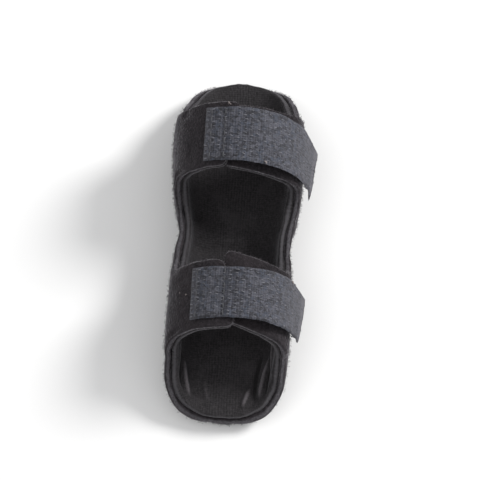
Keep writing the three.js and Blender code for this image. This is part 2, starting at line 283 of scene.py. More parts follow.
# The camera looks down on the straps from the tip's side. Two round lights and a pale room light
# the splint. Metres.
CAMERA_TARGET = Vector((1.2, -0.6, 11)) * MM
CAMERA_DISTANCE = 0.72
CAMERA_LENS = 300
CAMERA_ELEVATION = math.radians(71)
CAMERA_ROLL = math.radians(3.5)
Lamp = namedtuple("Lamp", "name place size power")
LAMPS = (Lamp("key", (0.52, 0.28, 0.45), 0.26, 5.2), Lamp("fill", (-0.3, -0.2, 0.6), 0.6, 0.9))
ROOM_COLOUR = (0.97, 0.98, 1, 1)
ROOM_LIGHT = 0.66
FLOOR_REACH = 3.0


def lerp(a, b, t):
    return a + (b - a) * t


def smoothstep(value, low, high):
    t = np.clip((value - low) / (high - low), 0, 1)
    return t * t * (3 - 2 * t)


def ridge(off, width):
    """The height of a smooth ridge of height 1, at a distance off its line."""
    return np.exp(-((off / width) ** 2))


def unit(vectors):
    return vectors / np.maximum(np.linalg.norm(vectors, axis=-1, keepdims=True), 1e-12)


def steps_to(count):
    """The shares of a way at which a number of equal steps end."""
    return np.arange(1, count + 1) / count


def lumps(points, size, seed):
    """Smooth noise from -1 to 1 at points, with lumps of one size."""
    shift = Vector((seed * 17.3, seed * 5.1, seed * 9.7))
    return np.array([noise.noise(Vector(p) / size + shift) for p in points])


def lumpy(points, table, seed=0):
    """The height of several sizes of lumps together, in millimetres."""
    return sum(lump.height * lumps(points, lump.size * MM, lump.seed + seed) for lump in table)


def curve_through(table, name):
    """A smooth curve through one column of a table, level where it starts."""
    at = np.array([row.at for row in table], float)
    value = np.array([getattr(row, name) for row in table], float)
    before = np.concatenate([[2 * at[0] - at[1]], at[:-2]])
    value_before = np.concatenate([[value[1]], value[:-2]])
    after = np.concatenate([at[2:], [at[-2]]])
    value_after = np.concatenate([value[2:], [value[-2]]])

    def read(place):
        place = np.clip(place, at[0], at[-1])
        i = np.clip(np.searchsorted(at, place, side="right") - 1, 0, len(at) - 2)
        start, end = at[i], at[i + 1]
        pull = (end - start) / 2 / (start - before[i])
        push = (end - start) / 2 / (after[i] - end)
        t = (place - start) / (end - start)
        return (
            (-pull * t**3 + 2 * pull * t**2 - pull * t) * value_before[i]
            + ((1 + pull) * t**3 - (1.5 + 2 * pull) * t**2 + (pull - 0.5) * t + 1) * value[i]
            + ((-1 - push) * t**3 + (1.5 + push) * t**2 + 0.5 * t) * value[i + 1]
            + (push * t**3 - push * t**2) * value_after[i]
        )

    return read


LEFT_SHARE = curve_through(SECTIONS, "left")
RIGHT_SHARE = curve_through(SECTIONS, "right")
CROWN_SHARE = curve_through(SECTIONS, "crown")
TIP_SHARE = {-1: curve_through(OUTLINE, "tip_left"), 1: curve_through(OUTLINE, "tip_right")}
HEEL_SHARE = {-1: curve_through(OUTLINE, "heel_left"), 1: curve_through(OUTLINE, "heel_right")}


def quarter_round(radius, distance):
    """How far a quarter-round stands out at a distance from where it starts."""
    d = radius - np.clip(distance, 0, radius)
    return radius - np.sqrt(radius * radius - d * d)


def wing_at(end, side):
    return next(wing for wing in WINGS if wing.end == end and wing.side == side)


def bowed_shift(bow, share):
    """Shift of a bowed edge at a share of the wing's length, in metres."""
    shift = share * (4 * bow.half - bow.end) + share * share * (2 * bow.end - 4 * bow.half)
    return shift * MM


def shares_of(rows):
    return (rows - rows[0]) / (rows[-1] - rows[0])


class Pattern:
    """The cut sheet and the surface that it is wrapped round, from the sizes of the body."""

    def __init__(self, sizes):
        self.sizes = sizes
        self.tip_end = -sizes.length / 2
        self.heel_end = sizes.length / 2
        self.tip_window = self.tip_end + sizes.tip_setback + sizes.tip_wing_width
        self.heel_window = self.heel_end - sizes.heel_setback - sizes.heel_wing_width
        self.wing_width = {"tip": sizes.tip_wing_width, "heel": sizes.heel_wing_width}
        self.wing_middle = {
            "tip": self.tip_window - sizes.tip_wing_width / 2,
            "heel": self.heel_window + sizes.heel_wing_width / 2,
        }
        layers = sizes.wing_thickness + sizes.lining_thickness
        self.lap_rise = layers + LINING_CLEARANCE + LAP_CLEARANCE

    def section(self, y, side):
        """One side's outer section at places along the body, with the girth of each bend."""
        sizes = self.sizes
        at = (y - self.tip_end) / sizes.length
        flattening = (1 - math.sin(SHOULDER_TURN)) / math.cos(SHOULDER_TURN)
        reach = np.maximum(0, 1 - (y - self.tip_end) / sizes.tip_curl_length)
        s = SimpleNamespace()
        s.half_width = np.where(np.less(side, 0), LEFT_SHARE(at), RIGHT_SHARE(at)) * sizes.width / 2
        s.crown = CROWN_SHARE(at) * sizes.crown_height
        s.spring = SPRING_SHARE * s.crown
        s.shoulder_radius = (s.crown - s.spring - flattening * s.half_width) / (1 - flattening)
        beside = (s.half_width - s.shoulder_radius) / math.cos(SHOULDER_TURN)
        s.crown_radius = s.shoulder_radius + beside
        s.palm = s.half_width - sizes.palm_corner
        s.corner_end = s.palm + sizes.palm_corner * math.pi / 2
        s.spring_girth = s.corner_end + s.spring - sizes.palm_corner
        s.shoulder_end = s.spring_girth + s.shoulder_radius * SHOULDER_TURN
        s.crown_girth = s.shoulder_end + s.crown_radius * (math.pi / 2 - SHOULDER_TURN)
        s.floor = sizes.tip_curl * reach * reach
        return s

    def girth_of_bend(self, y, bend, side):
        s = self.section(y, side)
        if bend <= 1:
            return bend * s.palm
        if bend <= 2:
            return lerp(s.palm, s.corner_end, bend - 1)
        return s.corner_end + (bend - 2) * (self.sizes.rim_height - self.sizes.palm_corner)

    def surface(self, y, girth):
        """Points of the outer surface at signed girths, which may run on past the crown."""
        corner = self.sizes.palm_corner
        side = np.where(np.less(girth, 0), -1.0, 1.0)
        past = np.abs(girth) - self.section(y, side).crown_girth
        side = np.where(past > 0, -side, side)
        s = self.section(y, side)
        g = np.where(past > 0, s.crown_girth - past, np.abs(girth))
        high = math.pi / 2 - (s.crown_girth - g) / s.crown_radius
        turn = (g - s.spring_girth) / s.shoulder_radius
        bend = (g - s.palm) / corner
        where = [g > s.shoulder_end, g > s.spring_girth, g > s.corner_end, g > s.palm]
        across = [
            s.crown_radius * np.cos(high),
            s.half_width - s.shoulder_radius * (1 - np.cos(turn)),
            s.half_width,
            s.palm + corner * np.sin(bend),
        ]
        up = [
            s.crown - s.crown_radius * (1 - np.sin(high)),
            s.spring + s.shoulder_radius * np.sin(turn),
            corner + g - s.corner_end,
            corner * (1 - np.cos(bend)),
        ]
        x = side * np.select(where, across, g)
        return np.stack([x, y, np.select(where, up, 0.0) + s.floor], axis=-1)

    def directions(self, y, girth):
        """Outward normals and the directions of growing girth."""
        h = 0.02 * MM
        along = self.surface(y + h, girth) - self.surface(y - h, girth)
        around = unit(self.surface(y, girth + h) - self.surface(y, girth - h))
        return unit(np.cross(along, around)), around

    def wing_reach(self, wing):
        """How far the askew cut takes a wing's end on, at its furthest corner."""
        return self.wing_width[wing.end] / 2 * abs(math.tan(math.radians(wing.cut)))

    def lap_share(self, left, end):
        """How much of the left wing's rise over the right one is reached left of the crown."""
        start = wing_at(end, 1).past * MM + LAP_CLEARANCE
        return 1 - smoothstep(left, start, start + LAP_EASE)

    def thickness(self, y, girth):
        """Thickness of the shell: thick in the palm side, thinner up the walls and wings."""
        s = self.section(y, girth)
        sizes = self.sizes
        g = np.abs(girth)
        rise = smoothstep(g, s.palm, s.corner_end)
        side = lerp(sizes.palm_thickness, sizes.wall_thickness, rise)
        rim = self.girth_of_bend(y, RIM_BEND, girth)
        return lerp(side, sizes.wing_thickness, smoothstep(g, rim, s.shoulder_end))

    def tip_outline(self, side, bend):
        return self.tip_end + self.sizes.tip_setback * TIP_SHARE[side](bend)

    def heel_outline(self, side, bend):
        return self.heel_end - self.sizes.heel_setback * HEEL_SHARE[side](bend)

    def rim_rows(self, side):
        """Rows of the trough at one side's rim: both wing zones and the window between them."""
        fillet = self.sizes.window_fillet
        low, high = self.tip_window + fillet, self.heel_window - fillet
        first, last = self.tip_outline(side, RIM_BEND), self.heel_outline(side, RIM_BEND)
        zones = ((first, low, "tip"), (low, high, "window"), (high, last, "heel"))
        rows = [np.linspace(start, end, RIM_ROWS[zone] + 1)[1:] for start, end, zone in zones]
        return np.concatenate([[first], *rows])

    def wing_levels(self, length):
        """Girths beyond the rim at which a wing has its columns."""
        fillet, corner = self.sizes.window_fillet, self.sizes.wing_end_radius
        straight = length - fillet - corner
        in_fillet = fillet * (1 - np.cos(steps_to(FILLET_TURNS) * math.pi / 2))
        in_wing = fillet + straight * steps_to(max(2, round(straight / WING_STEP)))
        in_end = length - corner * (1 - np.sin(steps_to(WING_END_TURNS) * math.pi / 2))
        return np.concatenate([in_fillet, in_wing, in_end])


class Sheet:
    """Places of the cut sheet, with their y, girth, rise and lap, and the quads between them."""

    def __init__(self):
        self.places, self.quads = [], []

    def place(self, y, girth, rise=0.0, lap=0.0):
        self.places.append((y, girth, rise, lap))
        return len(self.places) - 1

    def weave(self, columns):
        for a, b in zip(columns, columns[1:]):
            for j in range(len(a) - 1):
                self.quads.append((a[j], a[j + 1], b[j + 1], b[j]))


def wing_columns(pattern, sheet, wing, base, rows):
    """The columns of places that one wing adds beyond the rim."""
    sizes = pattern.sizes
    at_tip = wing.end == "tip"
    middle = pattern.wing_middle[wing.end]
    side = wing.side
    crown_girth = float(pattern.section(middle, side).crown_girth)
    rim_girth = float(pattern.girth_of_bend(middle, RIM_BEND, side))
    length = crown_girth - rim_girth + wing.past * MM
    shares = shares_of(rows)
    columns = [base]
    for level in pattern.wing_levels(length):
        bend = RIM_BEND + min(1, level / sizes.wing_sweep)
        flare = quarter_round(sizes.window_fillet, level)
        inset = quarter_round(sizes.wing_end_radius, length - level)
        reached = level / length
        low = pattern.tip_outline(side, bend) if at_tip else pattern.heel_window - flare
        high = pattern.tip_window + flare if at_tip else pattern.heel_outline(side, bend)
        low = low + inset + bowed_shift(wing.low, reached)
        high = high - inset + bowed_shift(wing.high, reached)
        y = lerp(low, high, shares)
        askew = reached * (y - middle) * math.tan(math.radians(wing.cut))
        girth = pattern.girth_of_bend(y, RIM_BEND, side) + level + askew
        share = pattern.lap_share(pattern.section(y, side).crown_girth - girth, wing.end)
        rise = pattern.lap_rise * share if side < 0 else 0 * share
        columns.append([sheet.place(*row) for row in zip(y, side * girth, rise, share)])
    return columns if side > 0 else columns[::-1]


def cut_sheet(pattern):
    """The whole cut sheet: the trough from rim to rim and the four wings."""
    sheet = Sheet()
    rows = {side: pattern.rim_rows(side) for side in (-1, 1)}
    trough = []
    for bend in np.concatenate([-TROUGH_BENDS[:0:-1], TROUGH_BENDS]):
        at, side = abs(bend), -1 if bend < 0 else 1
        rightness = (bend / RIM_BEND + 1) / 2
        shares = lerp(shares_of(rows[-1]), shares_of(rows[1]), rightness)
        y = lerp(pattern.tip_outline(side, at), pattern.heel_outline(side, at), shares)
        girth = np.sign(bend) * pattern.girth_of_bend(y, at, side)
        trough.append([sheet.place(*row) for row in zip(y, girth)])
    sheet.weave(trough)
    for wing in WINGS:
        rim = trough[-1] if wing.side > 0 else trough[0]
        start = 0 if wing.end == "tip" else RIM_ROWS["tip"] + RIM_ROWS["window"]
        part = slice(start, start + RIM_ROWS[wing.end] + 1)
        sheet.weave(wing_columns(pattern, sheet, wing, rim[part], rows[wing.side][part]))
    return sheet


def thick_body(outer, inner, normals, quads, bulge):
    """Points, faces and layers of a closed body between two liftings of a sheet. The rim bulges
    out between them. Layers: 0 outer face, 1 inner face, 0.5 middle of the rim."""
    n = len(outer)
    loose = {}
    for quad in quads:
        for a, b in zip(quad, quad[1:] + quad[:1]):
            if loose.pop((b, a), None) is None:
                loose[a, b] = True
    out = np.zeros_like(outer)
    for a, b in loose:
        away = np.cross(outer[b] - outer[a], normals[a] + normals[b])
        away /= max(np.linalg.norm(away), 1e-12)
        out[a] += away
        out[b] += away
    edge = sorted({a for a, _ in loose})
    middle = {a: 2 * n + i for i, a in enumerate(edge)}
    rim = (outer[edge] + inner[edge]) / 2 + unit(out[edge]) * bulge
    faces = quads + [tuple(n + i for i in quad[::-1]) for quad in quads]
    for a, b in loose:
        faces.append((b, a, middle[a], middle[b]))
        faces.append((middle[b], middle[a], n + a, n + b))
    layers = np.concatenate([np.zeros(n), np.ones(n), np.full(len(edge), 0.5)])
    return np.concatenate([outer, inner, rim]), faces, layers, edge


def add_field(mesh, name, values):
    """Stores a number or a vector on each point of a mesh."""
    values = np.asarray(values, np.float32)
    kind, key = ("FLOAT_VECTOR", "vector") if values.ndim == 2 else ("FLOAT", "value")
    mesh.attributes.new(name, kind, "POINT").data.foreach_set(key, values.ravel())


def linked(name, data):
    made = bpy.data.objects.new(name, data)
    bpy.context.scene.collection.objects.link(made)
    return made


def mesh_object(name, points, faces, fields=None):
    """A smooth mesh object at the origin, with its named fields on the points."""
    mesh = bpy.data.meshes.new(name)
    mesh.from_pydata(np.asarray(points, float).tolist(), [], faces)
    for field, values in (fields or {}).items():
        add_field(mesh, field, values)
    mesh.shade_smooth()
    return linked(name, mesh)


def read_all(items, key, width):
    """One number or vector of each item of a collection, as an array."""
    values = np.zeros(len(items) * width, np.float32)
    items.foreach_get(key, values)
    return values.astype(float).reshape(-1, width)


def coordinates(mesh):
    return read_all(mesh.vertices, "co", 3)


def field_of(mesh, name):
    attribute = mesh.attributes[name]
    if attribute.data_type == "FLOAT_VECTOR":
        return read_all(attribute.data, "vector", 3)
    return read_all(attribute.data, "value", 1)[:, 0]


def set_coordinates(mesh, points):
    mesh.vertices.foreach_set("co", points.astype(np.float32).ravel())
    mesh.update()


def evaluated_mesh(made):
    """The mesh of an object with its modifiers applied."""
    graph = bpy.context.evaluated_depsgraph_get()
    return bpy.data.meshes.new_from_object(made.evaluated_get(graph), depsgraph=graph)


def swell(made, hold, cap, surface):
    """Swells a closed padded piece from inside as cloth over foam. hold is 1 where it is sewn or
    pressed, and cap is the furthest that a point may move."""
    mesh = made.data.copy()
    rest = coordinates(mesh)
    set_coordinates(mesh, rest * SIM_SCALE)
    blown = linked("swelling", mesh)
    group = blown.vertex_groups.new(name="hold")
    for level in range(1, HOLD_LEVELS + 1):
        at = np.flatnonzero(np.round(hold * HOLD_LEVELS) == level)
        group.add(at.tolist(), level / HOLD_LEVELS, "REPLACE")
    cloth = blown.modifiers.new("cloth", "CLOTH")
    for name, value in CLOTH.items():
        setattr(cloth.settings, name, value)
    cloth.settings.uniform_pressure_force = surface.swell_pressure
    cloth.settings.effector_weights.gravity = 0
    cloth.collision_settings.use_collision = False
    cloth.point_cache.frame_end = surface.swell_frames
    scene = bpy.context.scene
    for number in range(1, surface.swell_frames + 1):
        scene.frame_set(number)
    swollen = coordinates(evaluated_mesh(blown)) / SIM_SCALE
    bpy.data.objects.remove(blown)
    scene.frame_set(1)
    move = swollen - rest
    far = np.linalg.norm(move, axis=1, keepdims=True)
    move *= np.minimum(1, cap / np.maximum(far, 1e-9))
    set_coordinates(made.data, rest + move * (1 - hold)[:, None])


def subdivided(made):
    """Replaces an object's mesh by its subdivision surface, and gives its points and normals."""
    divide = made.modifiers.new("subdivision", "SUBSURF")
    divide.levels = divide.render_levels = 1
    mesh = evaluated_mesh(made)
    made.modifiers.clear()
    made.data = mesh
    mesh.shade_smooth()
    return mesh, coordinates(mesh), read_all(mesh.vertex_normals, "vector", 3)


class Signal:
    """An output of a node, used in expressions like a number."""

    def __init__(self, graph, socket):
        self.graph = graph
        self.socket = socket

    def __getitem__(self, name):
        outputs = self.socket.node.outputs
        return Signal(self.graph, next(s for s in outputs if s.name == name and s.enabled))

    def maths(self, operation, *values):
        return self.graph.node("ShaderNodeMath", {"operation": operation}, *values)

    def __add__(self, other):
        return self.maths("ADD", self, other)

    __radd__ = __add__

    def __sub__(self, other):
        return self.maths("SUBTRACT", self, other)

    def __rsub__(self, other):
        return self.maths("SUBTRACT", other, self)

    def __mul__(self, other):
        return self.maths("MULTIPLY", self, other)

    __rmul__ = __mul__


class Graph:
    """A node tree that is being built."""

    def __init__(self, tree):
        self.tree = tree

    def node(self, kind, settings=None, *values, **named):
        """Adds a node: its settings first, then values or links for its sockets, in their order
        or by name, where a low line stands for a space."""
        made = self.tree.nodes.new(kind)
        for name, value in (settings or {}).items():
            setattr(made, name, value)
        sockets = list(zip(made.inputs, values))
        for name, value in named.items():
            label = name.replace("_", " ")
            sockets.append((next(s for s in made.inputs if s.name == label and s.enabled), value))
        for socket, value in sockets:
            if isinstance(value, Signal):
                self.tree.links.new(value.socket, socket)
            else:
                socket.default_value = value
        shown = next((s for s in made.outputs if s.enabled), None)
        return Signal(self, shown) if shown else made


class Finish(Graph):
    """A material of the splint."""

    def __init__(self, name):
        self.material = bpy.data.materials.new(name)
        self.material.use_nodes = True
        self.material.node_tree.nodes.clear()
        super().__init__(self.material.node_tree)
        self.place = self.node("ShaderNodeTexCoord")["Object"]

    def field(self, name, output="Fac"):
        """A field of the mesh's points."""
        return self.node("ShaderNodeAttribute", {"attribute_name": name})[output]

    def grain(self, size, detail=2.0, roughness=0.5):
        """Noise from 0 to 1 whose lumps have one size."""
        sockets = {"Vector": self.place, "Scale": 1 / size, "Detail": detail}
        return self.node("ShaderNodeTexNoise", Roughness=roughness, **sockets)["Fac"]

    def cells(self, size, output, place=None):
        """Random cells of one size: their Distance or their Color."""
        sockets = {"Vector": place or self.place, "Scale": 1 / size}
        return self.node("ShaderNodeTexVoronoi", **sockets)[output]

    def wave(self, value, pitch):
        """A sine of a length, from 0 to 1."""
        return value.maths("SINE", value * (2 * math.pi / pitch)) * 0.5 + 0.5

    def between(self, value, low, high):
        """0 below low, 1 above high, and smooth in between."""
        sockets = {"Value": value, "From_Min": low, "From_Max": high}
        return self.node("ShaderNodeMapRange", {"interpolation_type": "SMOOTHSTEP"}, **sockets)

    def blend(self, share, first, second):
        """A colour between two colours."""
        return self.node("ShaderNodeMix", {"data_type": "RGBA"}, Factor=share, A=first, B=second)

    def bump(self, height, depth, strength):
        return self.node("ShaderNodeBump", Height=height, Distance=depth, Strength=strength)

    def surface(self, colour, roughness, **sockets):
        """The shader, with what is the same all over set on its own sockets."""
        sockets.update(Base_Color=colour, Roughness=roughness)
        self.node("ShaderNodeOutputMaterial", Surface=self.node("ShaderNodeBsdfPrincipled", **sockets))
        return self.material


def rgba(colour, gain=1.0):
    return (*(min(1, c * gain) for c in colour), 1)


def loop_fabric(colours):
    """Brushed loop fabric, with its foam showing at the cut edge."""
    f = Finish("loop_fabric")
    fabric, core = colours.fabric, colours.core
    nap = f.grain(0.5 * MM, 3, 0.65)
    loops = f.cells(0.42 * MM, "Distance")
    fibres = f.grain(0.15 * MM, 1)
    colour = f.blend(f.between(nap, 0.36, 0.7), rgba(fabric, 0.55), rgba(fabric, 1.4))
    warm = f.between(f.grain(6 * MM), 0.35, 0.7) * 0.5
    colour = f.blend(warm, colour, rgba(colours.fabric_warm))
    colour = f.blend(f.between(fibres, 0.6, 0.76) * 0.4, colour, rgba(fabric, 3.4))
    foam = f.between(f.cells(0.3 * MM, "Distance"), 0.1, 0.7)
    rim = f.between(f.field("rim") + nap * 0.6, 0.4, 1.1)
    colour = f.blend(rim * 0.75, colour, f.blend(foam, rgba(core, 0.7), rgba(core, 1.3)))
    return f.surface(
        colour,
        0.93,
        Normal=f.bump(nap * 0.6 + loops * 0.35 + fibres * 0.3, 0.24 * MM, 0.9),
        Sheen_Weight=0.7,
        Sheen_Roughness=0.3,
        Sheen_Tint=rgba(colours.sheen),
        Specular_IOR_Level=0.2,
    )


def lining_fabric(colours):
    """Fine dark knit with wales along the body, slightly fuzzy, with painted shade in its creases and
    painted highlights on its fold ridges.
    """
    f = Finish("lining_knit")
    lining = colours.lining
    flat = f.node("ShaderNodeSeparateXYZ", None, f.field("pattern", "Vector"))
    drift = f.grain(2.5 * MM)
    wales = f.wave(flat["X"] + drift * 0.5 * MM, 0.5 * MM)
    courses = f.wave(flat["Y"] + drift * 0.6 * MM, 0.42 * MM)
    nap = f.grain(0.45 * MM, 3, 0.65)
    fibres = f.grain(0.14 * MM, 1)
    tone = f.between(wales * 0.14 + courses * 0.1 + nap * 0.85, 0.3, 0.85)
    colour = f.blend(tone, rgba(lining, 0.55), rgba(lining, 1.9))
    patch = f.between(f.grain(4 * MM), 0.45, 0.75) * 0.5
    colour = f.blend(patch, colour, rgba(lining, 2.0))
    colour = f.blend(f.between(fibres, 0.6, 0.76) * 0.35, colour, rgba(lining, 5))
    crease = f.field("crease")
    # Painted shade in the creases of the lining
    colour = f.blend(f.between(crease * -1, 0.1, 0.9) * 0.75, colour, rgba(lining, 0.2))
    # Painted highlight on the ridges of the folds
    colour = f.blend(f.between(crease + nap * 0.7, 0.7, 1.8) * 0.8, colour, rgba(lining, 5.6))
    rim = f.between(f.field("rim") + nap * 0.6, 0.4, 1.2)
    colour = f.blend(rim * 0.55, colour, rgba(colours.core))
    height = wales * 0.2 + courses * 0.12 + nap * 0.6 + fibres * 0.3
    return f.surface(
        colour,
        0.88,
        Normal=f.bump(height, 0.16 * MM, 0.9),
        Sheen_Weight=0.35,
        Sheen_Roughness=0.3,
        Sheen_Tint=rgba(colours.sheen),
        Specular_IOR_Level=0.25,
    )


def tape_weave(colours):
    """Woven back of a hook tape: fine warp and weft, salt and pepper, paler at its ends, with painted
    shade along its inner seam.
    """
    f = Finish("tape_weave")
    tape, pale = colours.tape, colours.tape_pale
    pattern = f.field("pattern", "Vector")
    flat = f.node("ShaderNodeSeparateXYZ", None, pattern)
    warp = f.wave(flat["Y"], 0.44 * MM)
    weft = f.wave(flat["X"], 0.38 * MM)
    speck = f.node("ShaderNodeSeparateColor", None, f.cells(0.47 * MM, "Color", pattern))
    fine = f.grain(0.22 * MM, 2, 0.7)
    tone = speck["Red"] * 0.46 + fine * 0.6 + warp * 0.07 + weft * 0.09
    colour = f.blend(f.between(tone, 0.3, 0.92), rgba(tape, 0.38), rgba(tape, 1.66))
    cool = f.between(speck["Green"], 0.5, 1.0) * 0.6
    colour = f.blend(cool, colour, rgba(colours.tape_cool, 1.1))
    broad = f.between(f.grain(5 * MM), 0.45, 0.8) * 0.2
    colour = f.blend(broad, colour, rgba(tape, 0.8))
    worn = fine * 0.8 + 0.5
    sewn = (1 - f.between(flat["X"], 0.9 * MM, 1.7 * MM)) * 0.3
    colour = f.blend(sewn * worn, colour, rgba(pale))
    # Painted shade along the inner seam, where the tape dents in
    colour = f.blend(f.field("seam") * 0.4, colour, rgba(tape, 0.4))
    to_end = f.field("to_end")
    end = (1 - f.between(to_end, 2 * MM, 12 * MM)) * 0.4
    colour = f.blend(end * worn, colour, rgba(pale))
    hem = (1 - f.between(to_end, 0.9 * MM, 2.2 * MM)) * 0.55
    colour = f.blend(hem * worn, colour, rgba(pale, 1.5))
    cut = (1 - f.between(to_end, 0.25 * MM, 0.6 * MM)) * 0.85
    colour = f.blend(cut, colour, rgba(tape, 0.3))
    height = warp * 0.25 + weft * 0.35 + fine * 0.5 + speck["Blue"] * 0.3
    return f.surface(
        colour,
        fine * 0.2 + 0.68,
        Normal=f.bump(height, 0.12 * MM, 0.9),
        Sheen_Weight=0.08,
        Sheen_Tint=rgba(colours.sheen),
        Specular_IOR_Level=0.3,
    )


def filament(name, colour, roughness, spread, rim_gain=None):
    """Plain nylon or thread whose tone changes from piece to piece, and may be paler at a rim."""
    f = Finish(name)
    tone = f.field("tone")
    fine = f.grain(0.12 * MM, 1)
    paint = f.blend(tone * 0.7 + fine * 0.3, rgba(colour, 1 - spread), rgba(colour, 1 + spread))
    # Paler at a rim: partly the lighter fuzz of a cut edge, partly a painted highlight for the light
    # that this fuzz catches
    if rim_gain is not None:
        rim = f.between(f.field("rim"), 0.2, 0.9)
        paint = f.blend(rim * tone, paint, rgba(colour, rim_gain))
    normal = f.bump(fine, 0.03 * MM, 0.6)
    return f.surface(paint, roughness, Normal=normal, Specular_IOR_Level=0.5)


def new_tree(name, **inputs):
    """A geometry tree with named inputs, and what its group input gives."""
    tree = bpy.data.node_groups.new(name, "GeometryNodeTree")
    tree.interface.new_socket(name="Geometry", in_out="OUTPUT", socket_type="NodeSocketGeometry")
    for label, kind in {"Guide": "Geometry", **inputs, "Seed": "Int", "Material": "Material"}.items():
        tree.interface.new_socket(name=label, in_out="INPUT", socket_type="NodeSocket" + kind)
    graph = Graph(tree)
    return graph, graph.node("NodeGroupInput")


def named_field(graph, kind, name):
    return graph.node("GeometryNodeInputNamedAttribute", {"data_type": kind}, Name=name)


def random_value(graph, low, high, seed, kind="FLOAT"):
    settings = {"data_type": kind}
    return graph.node("FunctionNodeRandomValue", settings, Min=low, Max=high, Seed=seed)


def turned(graph, rotation, low, high, seed):
    """A rotation that is turned on by random angles."""
    angles = random_value(graph, low, high, seed, "FLOAT_VECTOR")
    turn = graph.node("FunctionNodeEulerToRotation", Euler=angles)
    settings = {"rotation_space": "LOCAL"}
    return graph.node("FunctionNodeRotateRotation", settings, Rotation=rotation, Rotate_By=turn)


def aligned(graph, name, axis, pivot="AUTO", **under):
    """A rotation that turns an axis to a vector field of the guide's points."""
    settings = {"axis": axis, "pivot_axis": pivot}
    vector = named_field(graph, "FLOAT_VECTOR", name)
    return graph.node("FunctionNodeAlignRotationToVector", settings, Vector=vector, **under)


def planted(graph, given, seed, **sockets):
    """Closes a tree: a shape on each point in its own tone, made real, smooth and painted."""
    placed = graph.node("GeometryNodeInstanceOnPoints", **sockets)
    toned = graph.node(
        "GeometryNodeStoreNamedAttribute",
        {"data_type": "FLOAT", "domain": "INSTANCE"},
        Geometry=placed,
        Name="tone",
        Value=random_value(graph, 0.0, 1.0, seed),
    )
    real = graph.node("GeometryNodeRealizeInstances", Geometry=toned)
    smooth = graph.node("GeometryNodeSetShadeSmooth", Geometry=real)
    painted = graph.node("GeometryNodeSetMaterial", Geometry=smooth, Material=given["Material"])
    graph.node("NodeGroupOutput", Geometry=painted)
    return graph.tree


def point(graph, x, y, z):
    return graph.node("ShaderNodeCombineXYZ", None, x, y, z)


def filament_shape(graph, thickness, steps, sides, *points):
    """A bent filament as a mesh, from the start, middle and end of its curve."""
    start, middle, end = (point(graph, *place) for place in points)
    curve = {"Resolution": steps, "Start": start, "Middle": middle, "End": end}
    line = graph.node("GeometryNodeCurveQuadraticBezier", **curve)
    circle = {"Resolution": sides, "Radius": thickness * 0.5}
    ring = graph.node("GeometryNodeCurvePrimitiveCircle", **circle)
    sockets = {"Curve": line, "Profile_Curve": ring, "Fill_Caps": True}
    return graph.node("GeometryNodeCurveToMesh", **sockets)


def nap_tree():
    """Bent fibres scattered over a surface, thickest where one of its fields is high."""
    sizes = dict.fromkeys(("Density", "Length", "Thickness", "Lean"), "Float")
    graph, given = new_tree("nap", Field="String", **sizes)
    length, lean, seed = given["Length"], given["Lean"], given["Seed"]
    nap = named_field(graph, "FLOAT", given["Field"])
    points = graph.node(
        "GeometryNodeDistributePointsOnFaces",
        {"distribute_method": "RANDOM"},
        Mesh=given["Guide"],
        Density=nap * given["Density"],
        Seed=seed,
    )
    foot = (0.0, 0.0, length * -0.15)
    knee = (length * 0.05, 0.0, length * 0.95)
    tip = (length * 0.75, 0.0, length * 0.8)
    low = point(graph, lean * -1, lean * -1, 0.0)
    high = point(graph, lean, lean, 2 * math.pi)
    return planted(
        graph,
        given,
        seed + 3,
        Points=points["Points"],
        Instance=filament_shape(graph, given["Thickness"], 3, 3, foot, knee, tip),
        Rotation=turned(graph, points["Rotation"], low, high, seed + 1),
        Scale=random_value(graph, 0.45, 1.3, seed + 2),
    )


def row_tree(name, shape, turn):
    """A small shape on each point of a guide, along its run field and standing on its up field,
    turned at random by up to some angles."""
    sizes = dict.fromkeys(("Length", "Height", "Thickness", "Spread"), "Float")
    graph, given = new_tree(name, **sizes)
    spread, seed = given["Spread"], given["Seed"]
    rotation = aligned(graph, "run", "X", "Z", Rotation=aligned(graph, "up", "Z"))
    return planted(
        graph,
        given,
        seed + 2,
        Points=given["Guide"],
        Instance=shape(graph, given["Length"], given["Height"], given["Thickness"]),
        Rotation=turned(graph, rotation, tuple(-t for t in turn), turn, seed),
        Scale=random_value(graph, 1 - spread, 1 + spread, seed + 1),
    )


def stitch_shape(graph, length, height, thickness):
    """One stitch: a low arch of thread that dives into the cloth at both ends."""
    half, dive = length * 0.5, thickness * -0.6
    ends = (half * -1, 0.0, dive), (half, 0.0, dive)
    return filament_shape(graph, thickness, 8, 8, ends[0], (0.0, 0.0, height * 2), ends[1])


def hook_shape(graph, length, height, thickness):
    """One hook: a stem of nylon that bends over at its top."""
    foot, knee = (length * -0.5, 0.0, 0.0), (length * -0.2, 0.0, height * 1.9)
    tip = (length * 0.7, 0.0, height * 0.45)
    return filament_shape(graph, thickness, 6, 5, foot, knee, tip)


def thread_end_shape(graph, length, height, thickness):
    """The loose end of a thread, which points along its run field and bends a little."""
    root, middle = (length * -0.3, 0.0, 0.0), (length * 0.5, 0.0, 0.0)
    tip = (length, height * 0.6, height * -1)
    return filament_shape(graph, thickness, 4, 5, root, middle, tip)


def realised(name, guide, tree, values):
    """Runs a geometry tree on a guide mesh and keeps its result as a plain mesh object."""
    modifier = guide.modifiers.new(name, "NODES")
    modifier.node_group = tree
    for item in tree.interface.items_tree:
        if item.name in values:
            modifier[item.identifier] = values[item.name]
    mesh = evaluated_mesh(guide)
    guide.modifiers.clear()
    mesh.name = name
    return linked(name, mesh)


def dressed(made, material):
    made.data.materials.clear()
    made.data.materials.append(material)


def settled(points):
    """Flattens what would reach under the floor."""
    points[:, 2] = np.maximum(points[:, 2], 0)
    return points


